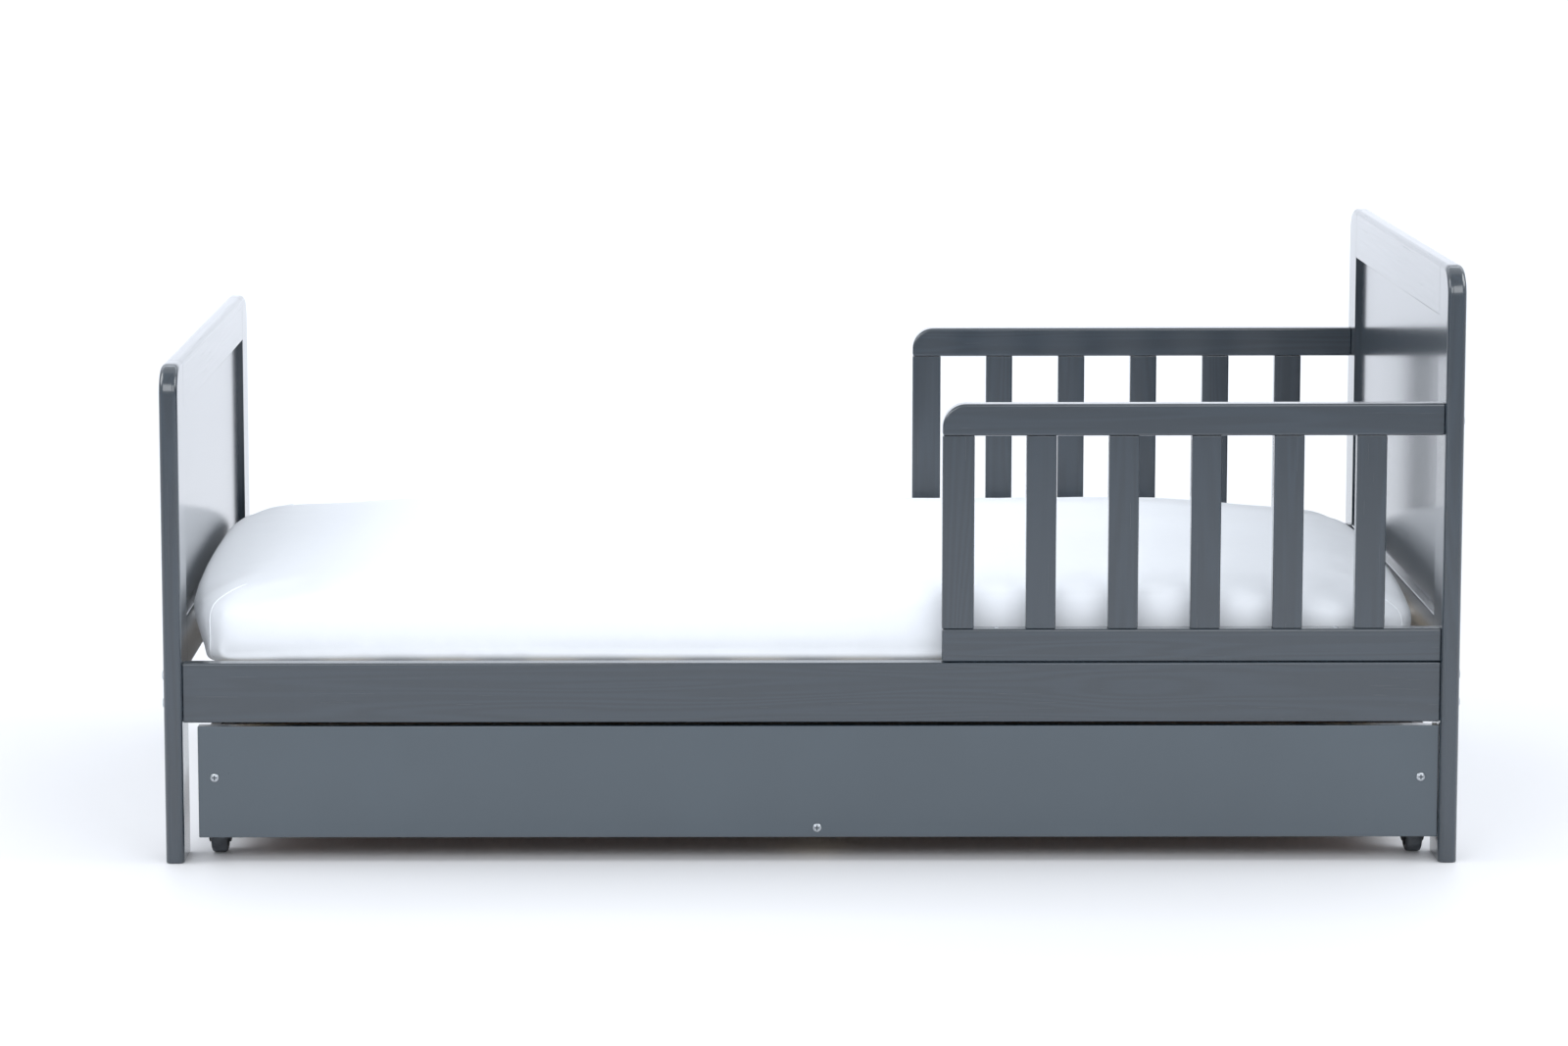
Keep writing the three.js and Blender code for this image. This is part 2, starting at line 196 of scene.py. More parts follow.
def barePine(grain):
    surface = Surface(f"bare_pine_{grain}", {"IOR": 1.45})
    field = surface.noise(alongGrain(grain, 0.8, 14), 2, 0.5, 0.6)
    rings = surface.ramp((field * 110).sine() * 0.5 + 0.5, 0.35, 0.95)
    fibres = surface.noise(alongGrain(grain, 9, 600), 3)
    boardTone = surface.noise((1.7, 1.7, 1.7), 1)
    wood = surface.mix(rings, colour("cdbb9c"), colour("b09a78"))
    wood = surface.mix(fibres * 0.35, wood, colour("a58f6e"))
    wood = surface.mix(boardTone * 0.3, wood, colour("d6c8aa"))
    surface.feed(surface.shader.inputs["Base Color"], wood)
    surface.feed(surface.shader.inputs["Roughness"], 0.52 + fibres * 0.2)
    surface.bump(fibres * 0.7 + rings * 0.3, 0.2, 0.4 * millimetre)
    return surface.material


def laminatedBoard(rawEdgeAbove):
    # White melamine: an even sheen over the faint pebble of its pressed face, bare along its top.
    surface = Surface("white_laminated_board", {"IOR": 1.5})
    pebble = surface.noise((650, 650, 650), 2)
    cloud = surface.noise((4, 4, 4), 2)
    rawEdge = surface.ramp(surface.axis(2, 1.0), rawEdgeAbove, rawEdgeAbove + 0.3 * millimetre)
    face = surface.mix(cloud * 0.4, colour("eceef0"), colour("e2e5e8"))
    surface.feed(surface.shader.inputs["Base Color"], surface.mix(rawEdge, face, colour("5b4a3b")))
    surface.feed(surface.shader.inputs["Roughness"], 0.34 + pebble * 0.16)
    surface.bump(pebble, 0.08, 0.2 * millimetre)
    return surface.material


def brownHardboard():
    surface = Surface("brown_hardboard", {"IOR": 1.45})
    specks = surface.noise((420, 420, 420), 4, 0.7)
    cloud = surface.noise((9, 9, 9), 3)
    board = surface.mix(surface.ramp(specks, 0.35, 0.7), colour("5a3d2b"), colour("7c5940"))
    board = surface.mix(cloud * 0.4, board, colour("6a4a35"))
    surface.feed(surface.shader.inputs["Base Color"], board)
    surface.feed(surface.shader.inputs["Roughness"], 0.5 + specks * 0.3)
    surface.bump(specks, 0.15, 0.3 * millimetre)
    return surface.material


def cottonSheet(name, base, thread, weaveRelief, paintedGlow):
    # Plain weave: threads cross in pairs of directions, so every face shows the same cloth.
    # The emission is painted light: a faint bluish glow that brightens the sheet as if it were lit
    # more strongly.
    surface = Surface(name, {"Sheen Weight": 0.25, "Sheen Roughness": 0.45, "IOR": 1.4,
                             "Emission Color": (0.86, 0.93, 1.0, 1.0), "Emission Strength": paintedGlow})
    turn = 2 * math.pi / thread
    warp = surface.axis(0, turn).sine()
    weft = surface.axis(1, turn).sine()
    rise = surface.axis(2, turn).sine()
    weave = (warp * weft + weft * rise + rise * warp) * 0.3 + 0.5
    slubs = surface.noise((60, 60, 60), 4)
    creases = surface.noise((7, 7, 11), 3, 0.5, 0.3)
    cloth = surface.mix(weave * 0.25 + slubs * 0.2, colour(base), colour("dfe2e7"))
    surface.feed(surface.shader.inputs["Base Color"], cloth)
    surface.feed(surface.shader.inputs["Roughness"], 0.78 + slubs * 0.18)
    surface.bump(weave * weaveRelief + slubs * 0.25 + creases * 1.5, 0.35, 0.6 * millimetre)
    return surface.material


def mouldedPlastic(name, base, roughness):
    surface = Surface(name, {"IOR": 1.46})
    grainy = surface.noise((900, 900, 900), 2)
    scuffs = surface.noise((40, 160, 40), 4, 0.6)
    tone = surface.mix(surface.ramp(scuffs, 0.45, 0.8), colour(base), colour("5b5f64"))
    surface.feed(surface.shader.inputs["Base Color"], tone)
    surface.feed(surface.shader.inputs["Roughness"], roughness + scuffs * 0.25)
    surface.bump(grainy, 0.12, 0.2 * millimetre)
    return surface.material


def zincSteel():
    surface = Surface("zinc_plated_steel", {"Metallic": 1.0})
    turning = surface.noise((700, 700, 700), 3)
    patches = surface.noise((120, 120, 120), 2)
    tone = surface.mix(patches, colour("c9cdd1"), colour("9fa5ab"))
    surface.feed(surface.shader.inputs["Base Color"], tone)
    surface.feed(surface.shader.inputs["Roughness"], 0.22 + turning * 0.2)
    surface.bump(turning, 0.08, 0.1 * millimetre)
    return surface.material


paint = {grain: paintedPine(grain) for grain in "xyz"}
panelPaint = paintedBoard("satin_paint_on_panel", paintLook["colour"], paintLook["roughness"])
drawerPaint = paintedBoard("satin_paint_on_drawer_front", "3a4751", 0.3)
pine = {grain: barePine(grain) for grain in "xyz"}
rawEdgeDepth = 1.2 * millimetre
whiteBoard = laminatedBoard(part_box("drawer_side_left")[1].z - rawEdgeDepth)
hardboard = brownHardboard()
# The sheet gets a painted glow of 0.055, bluish light that it gives off though it is no lamp; the
# ticking gets none.
sheetCloth = cottonSheet("white_cotton_sheet", "eef1f6", 1.3 * millimetre, 0.5, 0.055)
tickingCloth = cottonSheet("mattress_ticking", "e8e6e0", 2.4 * millimetre, 1.0, 0.0)
forkPlastic = mouldedPlastic("black_moulded_plastic", "1d2023", 0.35)
wheelPlastic = mouldedPlastic("grey_moulded_plastic", "3d4146", 0.4)
steel = zincSteel()
print("materials ready")


def blockBetween(low, high):
    bm = bmesh.new()
    bmesh.ops.create_cube(bm, size=1)
    low, high = Vector(low), Vector(high)
    bmesh.ops.scale(bm, vec=high - low, verts=bm.verts)
    bmesh.ops.translate(bm, vec=(low + high) / 2, verts=bm.verts)
    return bm


def facing(face):
    # The side of the block that a flat face lies on, such as +x, or nothing for a slope.
    face.normal_update()
    for index, axis in enumerate("xyz"):
        if abs(face.normal[index]) > 0.999:
            return ("+" if face.normal[index] > 0 else "-") + axis
    return ""


def sidesOf(edge):
    return {facing(face) for face in edge.link_faces}


def roundEdges(bm, edges, radius, segments):
    bmesh.ops.bevel(bm, geom=edges, offset=radius, offset_type="OFFSET", segments=segments,
                    profile=0.5, affect="EDGES", clamp_overlap=True, material=-1)


def sharpEdges(bm):
    return [edge for edge in bm.edges if edge.calc_face_angle(0) > math.radians(25)]


def boardMesh(low, high, soft, joints=(), corners=None, softer=None, sharp=1.0 * millimetre):
    # A board with big rounds at some corners and soft edges, left crisp where it meets another.
    bm = blockBetween(low, high)
    for sides, radius in (corners or {}).items():
        roundEdges(bm, [edge for edge in bm.edges if sidesOf(edge) == set(sides)], radius, 14)
    crisp = set(joints) | set(softer or {})
    roundEdges(bm, [edge for edge in sharpEdges(bm) if not sidesOf(edge) & crisp], soft, 6)
    for side, radius in (softer or {}).items():
        chosen = [e for e in sharpEdges(bm) if side in sidesOf(e) and not sidesOf(e) & set(joints)]
        roundEdges(bm, chosen, radius, 3)
    roundEdges(bm, sharpEdges(bm), sharp, 2)
    return bm


def makePiece(bm, name, material, body, nodes=(), smoothAngle=40):
    mesh = bpy.data.meshes.new(name)
    bm.to_mesh(mesh)
    bm.free()
    mesh.materials.append(material)
    mesh.shade_smooth()
    mesh.set_sharp_from_angle(angle=math.radians(smoothAngle))
    piece = bpy.data.objects.new(name, mesh)
    scene.collection.objects.link(piece)
    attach(piece, body)
    if nodes:
        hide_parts(*nodes)
    return piece


def weighNormals(piece):
    # Keeps the flats of a bevelled board flat in the light.
    modifier = piece.modifiers.new("weighted_normals", "WEIGHTED_NORMAL")
    modifier.keep_sharp = True
    return piece


def board(node, material, body="frame", slot="grey_paint", limits=None, **shape):
    # A finished board in the room its node takes; limits trim hidden tenons and tongues away.
    low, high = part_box(node)
    for axis, (start, end) in (limits or {}).items():
        low["xyz".index(axis)] = start
        high["xyz".index(axis)] = end
    bm = boardMesh(low, high, **shape)
    return weighNormals(makePiece(bm, f"{node}_board", material, body, [node]))


def spunShape(profile, steps, centre, axis):
    # Turns a profile of (radius, along) points round an axis, closed at both ends.
    bm = bmesh.new()
    verts = [bm.verts.new((radius, 0, along)) for radius, along in profile]
    edges = [bm.edges.new(pair) for pair in zip(verts, verts[1:])]
    bmesh.ops.spin(bm, geom=verts + edges, cent=(0, 0, 0), axis=(0, 0, 1), dvec=(0, 0, 0),
                   angle=2 * math.pi, steps=steps, use_merge=True, use_duplicate=False)
    bmesh.ops.remove_doubles(bm, verts=bm.verts, dist=1e-6)
    bmesh.ops.recalc_face_normals(bm, faces=bm.faces)
    turn = Vector((0, 0, 1)).rotation_difference(Vector(axis)).to_matrix().to_4x4()
    bmesh.ops.transform(bm, matrix=Matrix.Translation(centre) @ turn, verts=bm.verts)
    return bm


def joined(shapes):
    # Several bmeshes as one.
    whole = bmesh.new()
    scratch = bpy.data.meshes.new("joining")
    for bm in shapes:
        bm.to_mesh(scratch)
        whole.from_mesh(scratch)
        bm.free()
    bpy.data.meshes.remove(scratch)
    return whole


def cutBy(bm, cutter):
    # The first shape with the second taken out of it.
    holders = []
    for name, source in (("cut_body", bm), ("cutter", cutter)):
        mesh = bpy.data.meshes.new(name)
        source.to_mesh(mesh)
        source.free()
        holder = bpy.data.objects.new(name, mesh)
        scene.collection.objects.link(holder)
        holders.append(holder)
    body, tool = holders
    modifier = body.modifiers.new("cut", "BOOLEAN")
    modifier.operation = "DIFFERENCE"
    modifier.solver = "EXACT"
    modifier.object = tool
    result = bmesh.new()
    result.from_object(body, bpy.context.evaluated_depsgraph_get())
    for holder in holders:
        bpy.data.objects.remove(holder)
    return result


endBoardLook = {
    "postCorner": 38 * millimetre, "softEdge": 7.5 * millimetre, "openingEdge": 1.6 * millimetre,
    "jointEdge": 1.5 * millimetre, "footEdge": 1.5 * millimetre, "lowRailEdge": 2.4 * millimetre,
}


def endBoard(label):
    look = endBoardLook
    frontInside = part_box(f"{label}_stile_front")[1].y
    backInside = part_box(f"{label}_stile_back")[0].y
    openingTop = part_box(f"{label}_top_rail")[0].z
    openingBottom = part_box(f"{label}_bottom_rail")[1].z
    between = (frontInside + fitGap, backInside - fitGap)
    for place, outer, inner in (("front", "-y", "+y"), ("back", "+y", "-y")):
        board(f"{label}_stile_{place}", paint["z"], soft=look["softEdge"], joints=(inner,),
              corners={(outer, "+z"): look["postCorner"]}, softer={"-z": look["footEdge"]},
              sharp=look["jointEdge"])
    board(f"{label}_top_rail", paint["y"], soft=look["softEdge"], joints=("-y", "+y"),
          softer={"-z": look["openingEdge"]}, sharp=look["jointEdge"], limits={"y": between})
    board(f"{label}_bottom_rail", paint["y"], soft=look["lowRailEdge"], joints=("-y", "+y"),
          limits={"y": between})
    opening = {"y": between, "z": (openingBottom - fitGap, openingTop + fitGap)}
    board(f"{label}_panel", panelPaint, soft=fitGap, sharp=fitGap, limits=opening)


# The rails' ends are drawn tight against the posts, with a fine shadow line between them.
postGap = 0.05 * millimetre
baseLook = {
    "railEdge": 2.6 * millimetre, "railEnd": 1.8 * millimetre,
    "ledgeEdge": 1.5 * millimetre, "slatEdge": 2.2 * millimetre,
}


def slattedBase():
    look = baseLook
    posts = (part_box("foot_stile_front")[1].x + postGap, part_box("head_stile_front")[0].x - postGap)
    for place in ("front", "back"):
        board(f"side_rail_{place}", paint["x"], soft=look["railEdge"], joints=("-x", "+x"),
              sharp=look["railEnd"], limits={"x": posts})
        board(f"slat_ledge_{place}", paint["x"], soft=look["ledgeEdge"])
    for name in sorted(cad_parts):
        if name.startswith("bed_slat_"):
            board(name, pine["y"], slot="raw_pine", soft=look["slatEdge"])


guardLook = {
    "corner": 30 * millimetre, "railEdge": 3.5 * millimetre, "railEnd": 1.4 * millimetre,
    "slatEdge": 2.6 * millimetre,
}


def guardRail(place):
    look = guardLook
    lowRail = f"guard_{place}_bottom_rail"
    topRail = f"guard_{place}_top_rail"
    upright = (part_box(lowRail)[1].z + fitGap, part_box(topRail)[0].z - fitGap)
    post = {"x": (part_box(topRail)[0].x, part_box("head_stile_front")[0].x - postGap)}
    board(topRail, paint["x"], soft=look["railEdge"], joints=("+x",), sharp=look["railEnd"],
          corners={("-x", "+z"): look["corner"]}, limits=post)
    board(lowRail, paint["x"], soft=look["railEdge"], joints=("+x",), sharp=look["railEnd"],
          limits=post)
    for name in sorted(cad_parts):
        if name.startswith(f"guard_{place}_slat_"):
            board(name, paint["z"], soft=look["slatEdge"], joints=("-z", "+z"), limits={"z": upright})


for end in ("head", "foot"):
    endBoard(end)
slattedBase()
for place in ("front", "back"):
    guardRail(place)
print("frame ready")


drawerLook = {"frontEdge": 1.3 * millimetre, "endGap": 0.7 * millimetre, "boxEdge": 1.2 * millimetre}


def drawerBox():
    look = drawerLook
    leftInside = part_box("drawer_side_left")[1].x
    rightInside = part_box("drawer_side_right")[0].x
    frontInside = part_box("drawer_front")[1].y
    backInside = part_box("drawer_back")[0].y
    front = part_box("drawer_front")
    across = (front[0].x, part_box("head_stile_front")[0].x - look["endGap"])
    board("drawer_front", drawerPaint, "drawer", "drawer_paint", soft=look["frontEdge"],
          limits={"x": across})
    for node in ("drawer_side_left", "drawer_side_right", "drawer_back"):
        board(node, whiteBoard, "drawer", "white_board", soft=look["boxEdge"])
    board("drawer_cross_rail", pine["y"], "drawer", "raw_pine", soft=look["boxEdge"])
    inside = {
        "x": (leftInside - fitGap, rightInside + fitGap),
        "y": (frontInside - fitGap, backInside + fitGap),
    }
    board("drawer_bottom", hardboard, "drawer", "hardboard", soft=fitGap, sharp=fitGap, limits=inside)


drawerBox()


# The heads are made in millimetres; root is how far each goes into the wood.
boltLook = {"radius": 6.5, "height": 2.2, "socket": 3.0, "depth": 1.7, "chamfer": 0.9, "root": 1}
headRoot = 1.5
panLook = {"radius": 5.75, "height": 2.3, "slot": 1.7, "reach": 3.2, "depth": 2.4}
nutLook = {"radius": 5.0, "height": 0.6, "slot": 1.0, "reach": 3.6, "depth": 0.5}
smallLook = {"radius": 4.0, "height": 1.2, "slot": 0.9, "reach": 2.4, "depth": 0.7}
fastenerLook = {
    "boltRows": (24.5 * millimetre, 60.5 * millimetre), "nutInset": 30 * millimetre,
    "guardDrop": 2.5 * millimetre, "guardScrews": (70 * millimetre, 504 * millimetre),
    "slatSink": 0.9 * millimetre,
}


def moved(bm, at, towards):
    # Stands a head that was made looking up +Z on a surface that looks another way.
    turn = Vector((0, 0, 1)).rotation_difference(Vector(towards)).to_matrix().to_4x4()
    bmesh.ops.scale(bm, vec=(millimetre,) * 3, verts=bm.verts)
    bmesh.ops.transform(bm, matrix=Matrix.Translation(at) @ turn, verts=bm.verts)
    return bm


def boltHead(at, towards):
    # Flat connector bolt head with a hexagon socket.
    look = boltLook
    radius, height, root = look["radius"], look["height"], look["root"]
    profile = [(0, -root), (radius - root, -root), (radius, 0), (radius, height * 0.55),
               (radius - look["chamfer"], height), (0, height)]
    head = spunShape(profile, 40, (0, 0, 0), (0, 0, 1))
    socket = bmesh.new()
    bmesh.ops.create_cone(socket, cap_ends=True, segments=6, radius1=look["socket"],
                          radius2=look["socket"], depth=look["depth"] * 2)
    bmesh.ops.translate(socket, vec=(0, 0, height), verts=socket.verts)
    return moved(cutBy(head, socket), at, towards)


def crossHead(look, at, towards):
    # Domed screw head with a crossed recess.
    radius, height = look["radius"], look["height"]
    profile = [(0, -headRoot), (radius * 0.8, -headRoot), (radius, 0)]
    rise = 6
    for step in range(1, rise + 1):
        angle = step / rise * math.pi / 2
        out = radius * math.cos(angle) ** 0.5 if step < rise else 0
        profile.append((out, height * math.sin(angle)))
    head = spunShape(profile, 32, (0, 0, 0), (0, 0, 1))
    half, reach, floor = look["slot"] / 2, look["reach"], height - look["depth"]
    for across, along in ((half, reach), (reach, half)):
        slot = blockBetween((-across, -along, floor), (across, along, height + 1))
        head = cutBy(head, slot)
    return moved(head, at, towards)


def screwPiece(shapes, name):
    makePiece(joined(shapes), name, steel, "frame", smoothAngle=35)


def fasteners():
    look = fastenerLook
    railLow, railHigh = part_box("side_rail_front")
    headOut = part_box("head_stile_front")[1].x
    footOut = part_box("foot_stile_front")[0].x
    boltLine = (railLow.y + railHigh.y) / 2
    boltRows = [railLow.z + rise for rise in look["boltRows"]]
    bolts = []
    nuts = []
    for side in (1, -1):
        for row in boltRows:
            bolts.append(boltHead((headOut, side * boltLine, row), (1, 0, 0)))
            bolts.append(boltHead((footOut, side * boltLine, row), (-1, 0, 0)))
        for x in (railLow.x + look["nutInset"], railHigh.x - look["nutInset"]):
            nuts.append(crossHead(nutLook, (x, side * railHigh.y, boltRows[1]), (0, side, 0)))
    screwPiece(bolts, "corner_bolts")
    screwPiece(nuts, "corner_barrel_nuts")

    guardLow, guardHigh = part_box("guard_front_top_rail")
    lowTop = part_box("guard_front_bottom_rail")[1].z
    guardLine = (guardLow.y + guardHigh.y) / 2
    guardRow = (guardLow.z + guardHigh.z) / 2 - look["guardDrop"]
    screwPlaces = [guardLow.x + along for along in look["guardScrews"]]
    bolts = [boltHead((headOut, side * guardLine, guardRow), (1, 0, 0)) for side in (1, -1)]
    screws = [crossHead(smallLook, (x, side * guardLine, lowTop), (0, 0, 1))
              for side in (1, -1) for x in screwPlaces]
    screwPiece(bolts, "guard_bolts")
    screwPiece(screws, "guard_screws")

    slatScrews = []
    ledgeLow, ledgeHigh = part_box("slat_ledge_front")
    ledgeLine = (ledgeLow.y + ledgeHigh.y) / 2
    for name in sorted(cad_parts):
        if name.startswith("bed_slat_"):
            low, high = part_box(name)
            for side in (1, -1):
                at = ((low.x + high.x) / 2, side * ledgeLine, high.z - look["slatSink"])
                slatScrews.append(crossHead(smallLook, at, (0, 0, 1)))
    screwPiece(slatScrews, "slat_screws")

    for place in ("left", "right", "centre"):
        node = f"drawer_screw_{place}"
        low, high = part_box(node)
        at = ((low.x + high.x) / 2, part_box("drawer_front")[0].y, (low.z + high.z) / 2)
        head = crossHead(panLook, at, (0, -1, 0))
        makePiece(head, f"{node}_head", steel, "drawer", [node], 35)


fasteners()
print("drawer and fasteners ready")


casterLook = {
    "cheek": 2.5 * millimetre, "plate": 3 * millimetre, "foot": 8.5 * millimetre,
    "bossRadius": 6.5 * millimetre, "bossHeight": 0.8 * millimetre,
    "plateEdge": 0.6 * millimetre, "cheekEdge": 0.5 * millimetre,
    "wheelClear": 1 * millimetre, "hubReach": 0.8 * millimetre,
}


def cheekMesh(x, width, y, low, high, look):
    # One side of a fork: broad at the plate and round at the axle.
    bm = bmesh.new()
    axle = low.z + look["foot"]
    half = (high.y - low.y) / 2 - look["plate"]
    for across in (x, x + width):
        ring = bmesh.ops.create_circle(bm, segments=28, radius=look["foot"])["verts"]
        turn = Matrix.Rotation(math.pi / 2, 4, "Y")
        bmesh.ops.transform(bm, matrix=Matrix.Translation((across, y, axle)) @ turn, verts=ring)
        for side in (-1, 1):
            bm.verts.new((across, y + side * half, high.z - look["plate"] / 2))
    hull = bmesh.ops.convex_hull(bm, input=bm.verts)
    bmesh.ops.delete(bm, geom=hull["geom_interior"], context="VERTS")
    flat = math.radians(1)
    bmesh.ops.dissolve_limit(bm, angle_limit=flat, verts=bm.verts, edges=bm.edges)
    roundEdges(bm, sharpEdges(bm), look["cheekEdge"], 2)
    return bm


def caster(place):
    look = casterLook
    low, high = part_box(f"caster_fork_{place}")
    wheelLow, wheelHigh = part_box(f"caster_wheel_{place}")
    centre = (wheelLow + wheelHigh) / 2
    plate = boardMesh((low.x, low.y, high.z - look["plate"]), high, soft=look["plateEdge"])
    walls = [cheekMesh(x, look["cheek"], centre.y, low, high, look)
             for x in (low.x, high.x - look["cheek"])]
    bosses = []
    for x, side in ((low.x, -1), (high.x, 1)):
        radius, height = look["bossRadius"], look["bossHeight"]
        profile = [(0, -height), (radius, -height), (radius, height * 0.4), (radius * 0.85, height),
                   (radius * 0.35, height), (radius * 0.3, height * 0.3), (0, height * 0.3)]
        at = (x, centre.y, centre.z)
        bosses.append(spunShape(profile, 32, at, (side, 0, 0)))
    fork = makePiece(joined([plate, *walls, *bosses]), f"caster_fork_{place}_moulding", forkPlastic,
                     "drawer", [f"caster_fork_{place}"], 35)
    weighNormals(fork)

    # Wheel with a crowned tread, a ribbed web and a hub that reaches the cheeks.
    radius = (wheelHigh.z - wheelLow.z) / 2
    half = (high.x - low.x) / 2 - look["cheek"] - look["wheelClear"]
    hub = half + look["hubReach"]
    profile = [(0, -hub), (0.3 * radius, -hub), (0.32 * radius, -0.72 * half),
               (0.66 * radius, -0.66 * half), (0.7 * radius, -half), (0.8 * radius, -half),
               (0.93 * radius, -0.88 * half), (0.985 * radius, -0.66 * half),
               (radius, -0.4 * half), (radius, 0)]
    profile += [(r, -along) for r, along in reversed(profile[:-1])]
    wheel = spunShape(profile, 64, centre, (1, 0, 0))
    makePiece(wheel, f"caster_wheel_{place}_moulding", wheelPlastic, f"wheel_{place}",
              [f"caster_wheel_{place}"], 30)


for row in ("front", "back"):
    for column in ("left", "right"):
        caster(f"{row}_{column}")
print("casters ready")


mattressLook = {
    "corner": 50 * millimetre, "edge": 25 * millimetre, "inset": 5 * millimetre,
    "clear": 3 * millimetre, "voxel": 11 * millimetre, "fill": 0.85,
    "crown": 9 * millimetre, "lift": 5 * millimetre, "droopStart": 0.55, "droopEnd": 1.05,
    "footDroop": 22 * millimetre, "headDroop": 33 * millimetre,
    "headBow": 9 * millimetre, "footBow": 28 * millimetre,
    "tuck": 4 * millimetre, "endPlay": 5 * millimetre,
    "puckers": Vector((34, 34, 6)), "puckerDepth": 1.8 * millimetre, "puckerFrom": 0.8,
}
puffLook = {"frames": 20, "heldBelow": 14 * millimetre, "cap": 7 * millimetre}
clothLook = {
    "quality": 5, "mass": 0.25, "tension_stiffness": 12, "compression_stiffness": 12,
    "shear_stiffness": 4, "bending_stiffness": 0.6, "use_pressure": True,
    "uniform_pressure_force": 4.0, "shrink_min": -0.014, "vertex_group_mass": "held",
}


def softBlock(low, high, corner, edge):
    # A block with round corners in plan and soft edges above and below.
    bm = blockBetween(low, high)
    upright = [e for e in bm.edges if not sidesOf(e) & {"-z", "+z"}]
    roundEdges(bm, upright, corner, 10)
    roundEdges(bm, sharpEdges(bm), edge, 6)
    return bm


def meshOf(holder):
    # The holder's mesh as its modifiers leave it, with the modifiers then taken off.
    evaluated = holder.evaluated_get(bpy.context.evaluated_depsgraph_get())
    mesh = bpy.data.meshes.new_from_object(evaluated)
    holder.modifiers.clear()
    holder.data = mesh
    return mesh


def clothPuff(holder, low):
    # Lets the cover swell and ripple for a few frames, then holds back points that went too far.
    look = puffLook
    start = [vert.co.copy() for vert in holder.data.vertices]
    held = holder.vertex_groups.new(name="held")
    for vert in holder.data.vertices:
        weight = 1.0 if vert.co.z < low.z + look["heldBelow"] else 0.0
        held.add([vert.index], weight, "REPLACE")
    cloth = holder.modifiers.new("cover", "CLOTH")
    for key, value in clothLook.items():
        setattr(cloth.settings, key, value)
    cloth.settings.effector_weights.gravity = 0
    for step in range(1, look["frames"] + 1):
        scene.frame_set(step)
    mesh = meshOf(holder)
    scene.frame_set(1)
    for vert, origin in zip(mesh.vertices, start):
        shift = vert.co - origin
        if shift.length > look["cap"]:
            shift *= look["cap"] / shift.length
        vert.co = origin + shift


def eased(value, start, end):
    # Rises smoothly from 0 at the start to 1 at the end.
    share = min(1.0, max(0.0, (value - start) / (end - start)))
    return share * share * (3 - 2 * share)


def crowned(mesh, low, high, look):
    # The top rises over the middle and falls to the ends, the ends bow out between their corners,
    # and small puckers gather where the sheet turns under.
    middle = (low + high) / 2
    half = (high - low) / 2
    for vert in mesh.vertices:
        across = min(1.0, abs(vert.co.y - middle.y) / half.y)
        along = min(1.0, abs(vert.co.x - middle.x) / half.x)
        height = max(0.0, (vert.co.z - low.z) / (high.z - low.z))
        side = 1 if vert.co.x > middle.x else -1
        droop = look["headDroop"] if side > 0 else look["footDroop"]
        rise = look["lift"] + look["crown"] * (1 - across ** 2.5)
        fall = droop * eased(along, look["droopStart"], look["droopEnd"])
        fall *= 0.35 + 0.65 * across ** 2
        vert.co.z += (rise - fall) * height
        bow = look["headBow"] if side > 0 else look["footBow"]
        fullness = (1 - across ** 4) * eased(along, 0.85, 1.0) * eased(height, 0.1, 0.8)
        vert.co.x += side * bow * fullness
        under = max(0.0, 1 - 2 * height)
        tuck = look["tuck"] * under ** 2
        vert.co.x -= side * tuck * eased(along, 0.9, 1.0)
        around = noise.noise(vert.co * look["puckers"])
        outward = Vector((vert.co.x - middle.x, vert.co.y - middle.y, 0))
        if max(across, along) > look["puckerFrom"]:
            vert.co += outward.normalized() * around * under * look["puckerDepth"]


def mattress():
    look = mattressLook
    low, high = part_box("mattress")
    inner = Vector((look["inset"],) * 3)
    base = low + inner
    base.z = low.z + look["clear"]
    top = high - inner
    bm = softBlock(base, top, look["corner"], look["edge"])
    piece = makePiece(bm, "mattress_in_sheet", sheetCloth, "mattress", ["mattress"])
    remesh = piece.modifiers.new("even", "REMESH")
    remesh.mode = "VOXEL"
    remesh.voxel_size = look["voxel"]
    meshOf(piece)
    clothPuff(piece, base)
    crowned(piece.data, base, top, look)
    for vert in piece.data.vertices:
        vert.co.x = min(max(vert.co.x, low.x - look["endPlay"]), high.x + look["endPlay"])
        vert.co.y = min(max(vert.co.y, low.y), high.y)
        vert.co.z = max(vert.co.z, base.z)
    subdivision = piece.modifiers.new("smooth", "SUBSURF")
    subdivision.levels = 1
    subdivision.render_levels = 1
    meshOf(piece)
    for index in range(len(piece.data.materials)):
        piece.data.materials[index] = sheetCloth
    piece.data.shade_smooth()
    return piece


hemLook = {
    "inset": 78 * millimetre, "corner": 30 * millimetre, "radius": 2.2 * millimetre,
    "gathers": 190, "stepsPerGather": 4, "sides": 8, "width": 2.4, "wave": 0.9, "flatness": 0.55,
}


